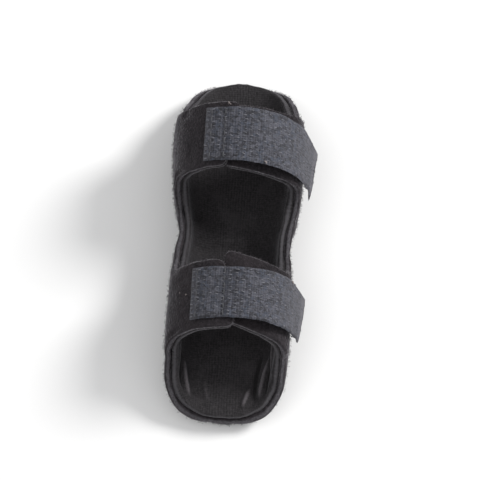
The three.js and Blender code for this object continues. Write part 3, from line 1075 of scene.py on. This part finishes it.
def layer_object(name, pattern, faces, bulge):
    """A layer of the cut sheet, with its fields, and each point's lap. Its outer and inner faces
    each lie a share of the shell's thickness and a length more under the outer surface."""
    sheet = cut_sheet(pattern)
    y, girth, rise, lap = np.array(sheet.places, float).T
    normals, _ = pattern.directions(y, girth)
    surface = pattern.surface(y, girth)
    thickness = pattern.thickness(y, girth)
    depths = [share * thickness + more for share, more in faces]
    outer, inner = (surface + normals * (rise - depth)[:, None] for depth in depths)
    points, faces, layers, edge = thick_body(outer, inner, normals, sheet.quads, bulge)
    twice = np.concatenate([np.arange(len(y)), np.arange(len(y)), edge])
    flat = np.stack([girth[twice], y[twice], layers * MM], axis=1)
    rim = 1 - np.abs(layers * 2 - 1)
    made = mesh_object(name, points, faces, {"pattern": flat, "layer": layers, "rim": rim})
    return made, lap[twice]


def fold_heights(flat):
    """How far the wrinkles lift the lining, at places of the flat sheet."""
    lift = np.zeros(len(flat))
    for fold in FOLDS:
        start = np.array([fold.g0, fold.y0]) * MM
        along = np.array([fold.g1, fold.y1]) * MM - start
        from_start = flat[:, :2] - start
        t = np.clip(from_start @ along / (along @ along), 0, 1)
        arch = np.sin(t * math.pi)
        bow = arch[:, None] * np.array([-along[1], along[0]]) * FOLD_BOW
        off = np.linalg.norm(from_start - t[:, None] * along - bow, axis=1)
        lift += fold.height * MM * arch**0.6 * ridge(off, fold.width * MM)
    return lift


def size_property(name, description, millimetres):
    return FloatProperty(name=name, description=description, default=millimetres * MM, unit="LENGTH")


def colour_property(name, description, default):
    settings = {"default": default, "subtype": "COLOR", "size": 3, "min": 0, "max": 1}
    return FloatVectorProperty(name=name, description=description, **settings)


class SplintBody(bpy.types.PropertyGroup):
    """Sizes of the cut sheet."""

    length: size_property("Length", "Tip to heel", 65)
    width: size_property("Width", "Over the side walls", 23.2)
    crown_height: size_property("Crown height", "Palm to crown", 20.9)
    rim_height: size_property("Rim height", "Palm to the rim", 10.2)
    palm_corner: size_property("Palm corner", "Radius of the corner", 7.5)
    palm_thickness: size_property("Palm thickness", "Padding underneath", 1.9)
    wall_thickness: size_property("Wall thickness", "Padding at the sides", 1.1)
    wing_thickness: size_property("Wing thickness", "Shell in the wings", 1)
    lining_thickness: size_property("Lining thickness", "The inner layer", 1)
    tip_curl: size_property("Tip curl", "Rise of the tip's end", 1.3)
    tip_curl_length: size_property("Tip curl length", "Where the rise begins", 8)
    tip_setback: size_property("Tip setback", "Tip to the first wing", 12.9)
    heel_setback: size_property("Heel setback", "Heel to the last wing", 11.2)
    wing_sweep: size_property("Wing sweep", "Sweep into a wing", 8)
    window_fillet: size_property("Window fillet", "Corners of the window", 5.5)
    tip_wing_width: size_property("Tip wing", "Width of the tip's wings", 11.4)
    heel_wing_width: size_property("Knuckle wing", "Width at the knuckle", 12.9)
    wing_end_radius: size_property("Wing end radius", "Corners of a wing", 1.2)


class SplintStraps(bpy.types.PropertyGroup):
    """Sizes of the two hook-tape straps."""

    thickness: size_property("Thickness", "Tape without its hooks", 0.6)
    full: size_property("With hooks", "Tape with its hooks", 1)
    clearance: size_property("Clearance", "Over the wings", 0.25)
    ease: size_property("Bridge", "Length over the lap", 13)
    bend_start: size_property("Bend start", "Past the crown", 5)
    bend_radius: size_property("Bend radius", "Towards the tip", 50)
    leave_angle: FloatProperty(
        name="Leave angle", description="Where it leaves", default=math.radians(24), unit="ROTATION"
    )
    hook_pitch: size_property("Hook pitch", "Between hooks", 1.15)
    knot_pitch: size_property("Knot pitch", "Between knots", 0.95)
    knot_length: size_property("Knot", "Length of a knot", 0.45)
    stitch: size_property("Stitch", "Length of a stitch", 1.3)
    thread: size_property("Thread", "Thickness of the thread", 0.26)


class SplintSurface(bpy.types.PropertyGroup):
    """How soft and hairy the fabric is."""

    swell: size_property("Swell", "Furthest bulge", 0.23)
    swell_pressure: FloatProperty(name="Pressure", description="Air inside", default=4.0)
    swell_frames: IntProperty(name="Frames", description="Steps of the swelling", default=14)
    nap_density: FloatProperty(
        name="Nap density", description="Fibres to a square metre", default=2.7e6
    )
    rim_nap_density: FloatProperty(
        name="Rim nap density", description="Fibres to a square metre", default=1.6e7
    )
    nap_length: size_property("Nap length", "Length of a fibre", 0.36)
    nap_thickness: size_property("Nap thickness", "Thickness of a fibre", 0.04)


class SplintColours(bpy.types.PropertyGroup):
    """Colours of the materials, as linear light."""

    fabric: colour_property("Fabric", "Loop fabric", (0.0208, 0.0177, 0.0202))
    fabric_warm: colour_property("Warm fabric", "Its warmer patches", (0.026, 0.021, 0.0231))
    core: colour_property("Core", "Foam at the cut edge", (0.082, 0.078, 0.085))
    sheen: colour_property("Sheen", "Light in the nap", (0.62, 0.6, 0.64))
    lining: colour_property("Lining", "Inner knit", (0.018, 0.0163, 0.0175))
    tape: colour_property("Tape", "Hook tape", (0.0475, 0.048, 0.058))
    tape_cool: colour_property("Cool tape", "Its bluish specks", (0.042, 0.0495, 0.068))
    tape_pale: colour_property("Pale tape", "Worn towards its ends", (0.092, 0.088, 0.096))
    thread: colour_property("Thread", "Stitching", (0.05, 0.05, 0.056))
    knot: colour_property("Knots", "Raised yarn of the tape", (0.082, 0.082, 0.094))
    lint: colour_property("Lint", "Loose specks", (0.25, 0.215, 0.205))
    floor: colour_property("Floor", "Under the splint", (0.84, 0.835, 0.825))


class SplintOperator:
    """What the operators share."""

    bl_options = {"REGISTER", "UNDO"}

    @staticmethod
    def settings(context):
        """The pattern of the body, and the settings of the straps, the surface and the colours."""
        scene = context.scene
        straps, surface, colours = scene.splint_straps, scene.splint_surface, scene.splint_colours
        return Pattern(scene.splint_body), straps, surface, colours


class SPLINT_OT_shell(SplintOperator, bpy.types.Operator):
    """Make the padded shell of loop fabric"""

    bl_idname = "splint.shell"
    bl_label = "Padded shell"

    def execute(self, context):
        pattern, _, surface, colours = self.settings(context)
        faces = ((0, 0), (1, 0))
        made, lap = layer_object("shell_fabric", pattern, faces, SHELL_BULGE)
        pressed = 1 - smoothstep(coordinates(made.data)[:, 2], *FLOOR_HOLD)
        sewn = field_of(made.data, "rim") * SHELL_RIM_HOLD
        hold = np.maximum.reduce([pressed, smoothstep(lap, *LAP_HOLD), sewn])
        swell(made, hold, surface.swell, surface)
        mesh, points, ups = subdivided(made)
        rim, layer = field_of(mesh, "rim"), field_of(mesh, "layer")
        lift = lumpy(points, SHELL_LUMPS)
        lift += rim * RIM_LUMP.height * lumps(points, RIM_LUMP.size * MM, RIM_LUMP.seed)
        set_coordinates(mesh, settled(points + ups * (lift * MM)[:, None]))
        off_floor = points[:, 2] > NAP_FLOOR_GAP
        add_field(mesh, "nap", np.clip(1 - 2 * layer, 0, 1) * off_floor)
        add_field(mesh, "rim_nap", smoothstep(rim, 0.1, 0.6) * off_floor)
        dressed(made, loop_fabric(colours))
        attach(made, ROOT)
        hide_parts("padded_shell")
        return {"FINISHED"}


class SPLINT_OT_lining(SplintOperator, bpy.types.Operator):
    """Make the dark knitted lining with its wrinkles"""

    bl_idname = "splint.lining"
    bl_label = "Lining"

    def execute(self, context):
        pattern, _, surface, colours = self.settings(context)
        inner_depth = LINING_CLEARANCE + pattern.sizes.lining_thickness
        faces = ((1, LINING_GAP), (1, inner_depth))
        made, lap = layer_object("lining_fabric", pattern, faces, LINING_BULGE)
        sewn = field_of(made.data, "rim") * LINING_RIM_HOLD
        hold = np.maximum(smoothstep(lap, *LAP_HOLD), sewn)
        swell(made, hold, surface.swell * LINING_SWELL, surface)
        mesh, points, ups = subdivided(made)
        inside = smoothstep(field_of(mesh, "layer"), 0.5, 0.95)
        folds = fold_heights(field_of(mesh, "pattern"))
        at_knuckle = smoothstep(points[:, 1], FADE_START, FADE_END)
        # The folds' heights drive the painted shade in the creases and the painted highlight on the
        # ridges, weaker towards the knuckle
        add_field(mesh, "crease", folds / FULL_RIDGE * (1 - RIDGE_FADE * at_knuckle))
        lift = lumpy(points, LINING_LUMPS) * MM + inside * folds
        set_coordinates(mesh, settled(points + ups * lift[:, None]))
        dressed(made, lining_fabric(colours))
        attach(made, ROOT)
        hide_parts("inner_lining")
        return {"FINISHED"}


class Tape:
    """The surface that a strap follows, by its place left of the crown and across the tape."""

    def __init__(self, pattern, straps, strap):
        self.pattern = pattern
        self.straps = straps
        self.strap = strap
        self.width = strap.width * MM
        self.middle = pattern.wing_middle[strap.end]
        s = pattern.section(self.middle, 1)
        leave = s.crown_girth - s.spring_girth - s.shoulder_radius * straps.leave_angle
        self.start = strap.start * MM
        self.held = self.start + float(leave)
        self.length = self.held + strap.free * MM
        wing = wing_at(strap.end, -1)
        self.sewn_end = -wing.past * MM
        self.wing_end = self.sewn_end - pattern.wing_reach(wing)
        self.sewn_length = self.start - self.sewn_end
        self.seams = (SEAM_MARGINS[0], self.sewn_length - SEAM_MARGINS[1])

    def at(self, along, across, height):
        """Points at lengths along the tape and across it, at heights over its underside."""
        straps, pattern, strap = self.straps, self.pattern, self.strap
        along, across = np.broadcast_arrays(along, across)
        left = self.start - np.minimum(along, self.held)
        out = np.maximum(0, along - self.held)
        bridged = smoothstep(left, self.wing_end - straps.ease, self.wing_end)
        lap = np.minimum(pattern.lap_share(left, strap.end), bridged)
        sewn = smoothstep(left, self.sewn_end - SEWN_BLEND, self.sewn_end + SEWN_BLEND)
        under = pattern.lap_rise * lap + straps.clearance
        under = under + (straps.full - straps.thickness) * (1 - sewn) - SEWN_SINK * sewn
        bent = np.maximum(0, -left - straps.bend_start)
        slant = math.radians(strap.slant)
        y = self.middle + strap.shift * MM + across + left * math.tan(slant)
        y = y - bent**2 / (2 * straps.bend_radius)
        girth = pattern.section(y, 1).crown_girth + left
        normal, around = pattern.directions(y, girth)
        lean = slant + np.arctan(bent / straps.bend_radius)
        lean = lean + math.radians(strap.spread) * (across / self.width + 0.5)
        reach = out * (1 + across * math.tan(math.radians(strap.cut)) / (strap.free * MM))
        points = pattern.surface(y, girth) - around * reach[..., None]
        points[..., 1] -= reach * np.tan(lean)
        points = points + normal * (under + height)[..., None]
        return points, normal

    def frayed(self, along, across):
        """Where the free end's threads and its drawn-out corner put points of the tape."""
        to_end = self.length - along
        edge_line = np.stack([0 * across, across, 0 * across], axis=-1).reshape(-1, 3)
        teeth = FRAY.height * MM * lumps(edge_line, FRAY.size * MM, FRAY.seed)
        along = along + teeth.reshape(along.shape) * smoothstep(-to_end, -0.5 * MM, 0)
        corner = np.clip(1 - to_end / SPIKE_LENGTH, 0, 1) ** 1.6
        edge = np.clip((-across / self.width - SPIKE_START) / (0.5 - SPIKE_START), 0, 1) ** 2
        return along, across - self.strap.spike * MM * corner * edge

    def profile(self, a, s, across, wave):
        """Heights of the tape's top and underside, over a grid of lengths and shares across."""
        round_edge = np.sqrt(np.maximum(0, 1 - np.abs(s) ** 14))
        ribs = RELIEF.rib * MM * np.cos(across * 2 * math.pi / (RELIEF.rib_pitch * MM))
        off_selvedge = np.abs(s) - RELIEF.selvedge_place
        selvedge = RELIEF.selvedge * MM * ridge(off_selvedge, RELIEF.selvedge_width)
        brink, foot, end = (self.sewn_length + place * MM for place in RELIEF.ledge_places)
        ledge = RELIEF.ledge * MM * (smoothstep(a, foot, end) - smoothstep(a, brink, foot))
        pucker = 0.75 + 0.25 * np.cos(across * 2 * math.pi / self.straps.stitch)
        dents = sum(ridge(a - seam, RELIEF.seam_width * MM) for seam in self.seams)
        seams = -RELIEF.seam * MM * pucker * dents
        middle = self.straps.thickness / 2
        top = middle + middle * round_edge + ribs + selvedge + ledge + seams + wave
        low = middle - middle * round_edge + wave + np.minimum(0, ledge + seams)
        to_edge = np.minimum(a, self.length - a)
        ends = np.minimum(1, np.sqrt(to_edge / (RELIEF.thin_end * MM)) * 0.8 + 0.2)
        centre = (top + low) / 2
        return centre + (top - centre) * ends, centre + (low - centre) * ends


def tape_object(tape):
    """The woven tape of one strap, with thicker selvedges and a cut free end."""
    rows, columns = TAPE_ROWS, TAPE_COLUMNS
    along = np.linspace(0, tape.length, rows)
    narrowing = quarter_round(RELIEF.corner * MM, tape.length - along)
    a, s = np.meshgrid(along, np.linspace(-1, 1, columns), indexing="ij")
    across = s * tape.width / 2 - 0.8 * narrowing[:, None] * np.maximum(0, s)
    flat = np.stack([a, across, 0 * a], axis=-1).reshape(-1, 3)
    wave = lumpy(flat, TAPE_LUMPS, tape.strap.seed).reshape(a.shape)
    edge = lumpy(flat * [1, 0.1, 0], SELVEDGE_LUMPS, tape.strap.seed).reshape(a.shape)
    along, across = tape.frayed(a, across + s**9 * edge * MM)
    sides = tape.profile(a, s, across, wave * MM)
    points = [tape.at(along, across, height)[0].reshape(-1, 3) for height in sides]
    n = rows * columns
    index = np.arange(n).reshape(rows, columns)
    quads = [index[:-1, 1:], index[1:, 1:], index[1:, :-1], index[:-1, :-1]]
    quads = np.stack(quads, axis=-1).reshape(-1, 4)
    ring = [index[0], index[1:, -1], index[-1, -2::-1], index[-2:0:-1, 0]]
    ring = np.concatenate(ring).tolist()
    faces = quads.tolist() + (quads[:, ::-1] + n).tolist()
    faces += [(a, b, n + b, n + a) for a, b in zip(ring, ring[1:] + ring[:1])]
    twice = np.concatenate([flat, flat + [0, 0, tape.straps.thickness]])
    fields = {
        "pattern": twice,
        "to_end": tape.length - twice[:, 0],
        # Where the painted shade along the inner seam falls
        "seam": ridge(twice[:, 0] - tape.seams[1], 0.55 * MM),
    }
    return mesh_object(tape.strap.name, np.concatenate(points), faces, fields)


def rowed(name, tape, tree, small, material, places, height, facing=1, crosswise=False):
    """Small shapes of a tree on a tape: at places along and across it, at one height."""
    along, across = places
    run = (0, 0.1 * MM) if crosswise else (0.1 * MM, 0)
    points, normal = tape.at(along, across, height)
    ahead, _ = tape.at(along + run[0], across + run[1], height)
    fields = {"run": unit(ahead - points).reshape(-1, 3), "up": facing * normal.reshape(-1, 3)}
    guide = mesh_object(name + "_guide", points.reshape(-1, 3), [], fields)
    values = {
        "Length": small.length * MM,
        "Height": small.height * MM,
        "Thickness": small.thickness * MM,
        "Spread": small.spread,
        "Seed": small.seed,
        "Material": material,
    }
    made = realised(name, guide, tree, values)
    bpy.data.objects.remove(guide)
    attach(made, ROOT)
    return made


class SPLINT_OT_straps(SplintOperator, bpy.types.Operator):
    """Make the two straps of woven hook tape"""

    bl_idname = "splint.straps"
    bl_label = "Straps"

    def execute(self, context):
        pattern, straps, _, colours = self.settings(context)
        weave = tape_weave(colours)
        for strap in STRAPS:
            made = tape_object(Tape(pattern, straps, strap))
            dressed(made, weave)
            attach(made, ROOT)
            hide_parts(strap.node)
        return {"FINISHED"}


class SPLINT_OT_hooks(SplintOperator, bpy.types.Operator):
    """Make the hooks under both straps"""

    bl_idname = "splint.hooks"
    bl_label = "Hooks"

    def execute(self, context):
        pattern, straps, _, colours = self.settings(context)
        nylon = filament("hook_nylon", colours.tape, 0.45, 0.35)
        tree = row_tree("hooks", hook_shape, (0.2, 0.2, 0.35))
        for strap in STRAPS:
            tape = Tape(pattern, straps, strap)
            first = tape.sewn_length + 0.6 * MM
            along = np.arange(first, tape.length - 0.25 * MM, straps.hook_pitch)
            across = np.linspace(-HOOK_SPAN, HOOK_SPAN, HOOKS_ACROSS) * tape.width
            a, c = np.meshgrid(along, across, indexing="ij")
            c = c + 0.25 * straps.hook_pitch * (np.arange(len(along)) % 2)[:, None]
            places = (a, np.clip(c, -HOOK_LIMIT * tape.width, HOOK_LIMIT * tape.width))
            name = strap.end + "_hooks"
            made = rowed(name, tape, tree, HOOK, nylon, places, 0.06 * MM, facing=-1)
        return {"FINISHED"}


class SPLINT_OT_weave(SplintOperator, bpy.types.Operator):
    """Make the raised knots of the straps' weave and the threads at their free ends"""

    bl_idname = "splint.weave"
    bl_label = "Weave"

    def execute(self, context):
        pattern, straps, _, colours = self.settings(context)
        yarn = filament("tape_yarn", colours.knot, 0.6, 0.55)
        cut_yarn = filament("cut_yarn", colours.tape, 0.7, 0.7)
        knots = row_tree("knots", stitch_shape, (0.0, 0.0, 0.35))
        ends = row_tree("ends", thread_end_shape, (0.25, 0.35, 0.5))
        pitch, length = straps.knot_pitch, straps.knot_length / MM
        knot = Small(length, 0.05, length * 0.42, 0.3, KNOT_SEED)
        rng = np.random.default_rng(SEED)
        for strap in STRAPS:
            tape = Tape(pattern, straps, strap)
            width = tape.width * KNOT_SPAN
            along = np.arange(0.5 * MM, tape.length - 0.3 * MM, pitch)
            count = round(width / (pitch * KNOT_SPACING))
            across = ((np.arange(count) + 0.5) / count - 0.5) * width
            a, c = np.meshgrid(along, across, indexing="ij")
            c = c + KNOT_STAGGER * pitch * (np.arange(len(along)) % 2 - 0.5)[:, None]
            a = a + rng.normal(0, KNOT_JITTER[0], a.shape) * pitch
            c = c + rng.normal(0, KNOT_JITTER[1], c.shape) * pitch
            height = straps.thickness + 0.01 * MM
            made = rowed(strap.end + "_knots", tape, knots, knot, yarn, (a, c), height)
            c = np.arange(-THREAD_SPAN, THREAD_SPAN, THREAD_SPACING) * tape.width
            places = tape.frayed(tape.length - 0.15 * MM + 0 * c, c)
            height = straps.thickness * 0.45
            name = strap.end + "_thread_ends"
            made = rowed(name, tape, ends, THREAD_END, cut_yarn, places, height)
        return {"FINISHED"}


class SPLINT_OT_stitches(SplintOperator, bpy.types.Operator):
    """Make the rows of stitches that hold the straps on the left wings"""

    bl_idname = "splint.stitches"
    bl_label = "Stitches"

    def execute(self, context):
        pattern, straps, _, colours = self.settings(context)
        cotton = filament("sewing_thread", colours.thread, 0.7, 0.25)
        pitch, thread = straps.stitch, straps.thread / MM
        stitch = Small(pitch / MM * 0.84, thread * 0.7, thread, 0.06, STITCH_SEED)
        tree = row_tree("stitches", stitch_shape, (0.0, 0.0, 0.09))
        height = straps.thickness - 0.1 * MM
        for strap in STRAPS:
            tape = Tape(pattern, straps, strap)
            count = round(tape.width * STITCH_SPAN / pitch)
            across = (np.arange(count) - (count - 1) / 2) * pitch
            places = np.meshgrid(np.array(tape.seams), across, indexing="ij")
            name = strap.end + "_stitches"
            rowed(name, tape, tree, stitch, cotton, places, height, crosswise=True)
        return {"FINISHED"}


class SPLINT_OT_lint(SplintOperator, bpy.types.Operator):
    """Make the few pale specks of lint that cling to the straps and wings"""

    bl_idname = "splint.lint"
    bl_label = "Lint"

    def execute(self, context):
        pattern, straps, _, colours = self.settings(context)
        fluff = filament("lint", colours.lint, 0.9, 0.3)
        tree = row_tree("lint", stitch_shape, (0.5, 0.5, math.pi))
        rng = np.random.default_rng(SEED + 1)
        for strap in STRAPS:
            specks = [(speck.left, speck.across) for speck in LINT if speck.end == strap.end]
            place = np.repeat(specks, FIBRES_IN_A_SPECK, axis=0) * MM
            place = place + rng.normal(0, SPECK_SPREAD, place.shape) * MM
            tape = Tape(pattern, straps, strap)
            along, across = tape.start - place[:, 0], place[:, 1]
            on_tape = (along > 0) & (np.abs(across) < tape.width / 2)
            height = np.where(on_tape, straps.thickness, 0) + 0.07 * MM
            places = (along, across)
            rowed(strap.end + "_lint", tape, tree, LINT_FIBRE, fluff, places, height)
        return {"FINISHED"}


class SPLINT_OT_nap(SplintOperator, bpy.types.Operator):
    """Make the nap of fibres on the loop fabric"""

    bl_idname = "splint.nap"
    bl_label = "Nap"

    def execute(self, context):
        _, _, surface, colours = self.settings(context)
        # The rim fibres are paler, partly as the cut edge's lighter fuzz and partly as a painted
        # highlight of light caught in it
        fibre = filament("nap_fibre", colours.fabric, 0.8, 0.5, rim_gain=8)
        guide = bpy.data.objects["shell_fabric"]
        tree = nap_tree()
        for name, field, density, length in (
            ("shell_nap", "nap", surface.nap_density, surface.nap_length),
            ("rim_nap", "rim_nap", surface.rim_nap_density, surface.nap_length * 0.8),
        ):
            values = {
                "Field": field,
                "Density": density,
                "Length": length,
                "Thickness": surface.nap_thickness,
                "Lean": NAP_LEAN,
                "Seed": NAP_SEED,
                "Material": fibre,
            }
            made = realised(name, guide, tree, values)
            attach(made, ROOT)
        return {"FINISHED"}


class SPLINT_OT_stage(SplintOperator, bpy.types.Operator):
    """Make the floor, the lights and the camera"""

    bl_idname = "splint.stage"
    bl_label = "Stage"

    def execute(self, context):
        scene = context.scene
        pale = scene.splint_colours.floor
        corners = np.array([(-1, -1, 0), (1, -1, 0), (1, 1, 0), (-1, 1, 0)]) * FLOOR_REACH
        floor = mesh_object("floor", corners, [(0, 1, 2, 3)])
        paint = Finish("pale_floor")
        colour = paint.blend(paint.grain(30 * MM, 3), rgba(pale, 0.985), rgba(pale, 1.015))
        dressed(floor, paint.surface(colour, 0.8, Specular_IOR_Level=0.2))
        for lamp in LAMPS:
            data = bpy.data.lights.new(lamp.name, "AREA")
            data.shape = "DISK"
            data.size = lamp.size
            data.energy = lamp.power
            light = linked(lamp.name, data)
            light.location = lamp.place
            light.rotation_euler = (-Vector(lamp.place)).to_track_quat("-Z", "Y").to_euler()
            light.visible_camera = False
        world = bpy.data.worlds.new("soft_room")
        world.use_nodes = True
        background = world.node_tree.nodes["Background"]
        background.inputs["Color"].default_value = ROOM_COLOUR
        background.inputs["Strength"].default_value = ROOM_LIGHT
        scene.world = world
        scene.view_settings.view_transform = "Standard"
        data = bpy.data.cameras.new("camera")
        data.lens = CAMERA_LENS
        data.clip_start = 0.01
        data.clip_end = 20
        camera = linked("camera", data)
        back = Vector((0, -math.cos(CAMERA_ELEVATION), math.sin(CAMERA_ELEVATION)))
        camera.location = CAMERA_TARGET + back * CAMERA_DISTANCE
        camera.rotation_mode = "QUATERNION"
        turn = Quaternion(back, CAMERA_ROLL)
        camera.rotation_quaternion = turn @ (-back).to_track_quat("-Z", "Y")
        scene.camera = camera
        return {"FINISHED"}


class SPLINT_PT_panel(bpy.types.Panel):
    """The splint's pieces in the sidebar"""

    bl_idname = "SPLINT_PT_panel"
    bl_label = "Finger splint"
    bl_space_type = "VIEW_3D"
    bl_region_type = "UI"
    bl_category = "Splint"

    def draw(self, context):
        for operator in OPERATORS:
            self.layout.operator(operator.bl_idname)
        for title, group in GROUPS.items():
            box = self.layout.box()
            box.label(text=group.__doc__)
            for name in group.__annotations__:
                box.prop(getattr(context.scene, title), name)


GROUPS = {
    "splint_body": SplintBody,
    "splint_straps": SplintStraps,
    "splint_surface": SplintSurface,
    "splint_colours": SplintColours,
}
OPERATORS = (
    SPLINT_OT_stage,
    SPLINT_OT_shell,
    SPLINT_OT_lining,
    SPLINT_OT_straps,
    SPLINT_OT_hooks,
    SPLINT_OT_weave,
    SPLINT_OT_stitches,
    SPLINT_OT_lint,
    SPLINT_OT_nap,
)


def register():
    for group in (*GROUPS.values(), *OPERATORS, SPLINT_PT_panel):
        bpy.utils.register_class(group)
    for title, group in GROUPS.items():
        setattr(bpy.types.Scene, title, PointerProperty(type=group))


def unregister():
    for title in GROUPS:
        delattr(bpy.types.Scene, title)
    for group in reversed((*GROUPS.values(), *OPERATORS, SPLINT_PT_panel)):
        bpy.utils.unregister_class(group)


def main():
    register()
    bpy.ops.splint.stage()
    bpy.ops.splint.shell()
    bpy.ops.splint.lining()
    bpy.ops.splint.straps()
    bpy.ops.splint.hooks()
    bpy.ops.splint.weave()
    bpy.ops.splint.stitches()
    bpy.ops.splint.lint()
    bpy.ops.splint.nap()


if __name__ == "__main__":
    main()
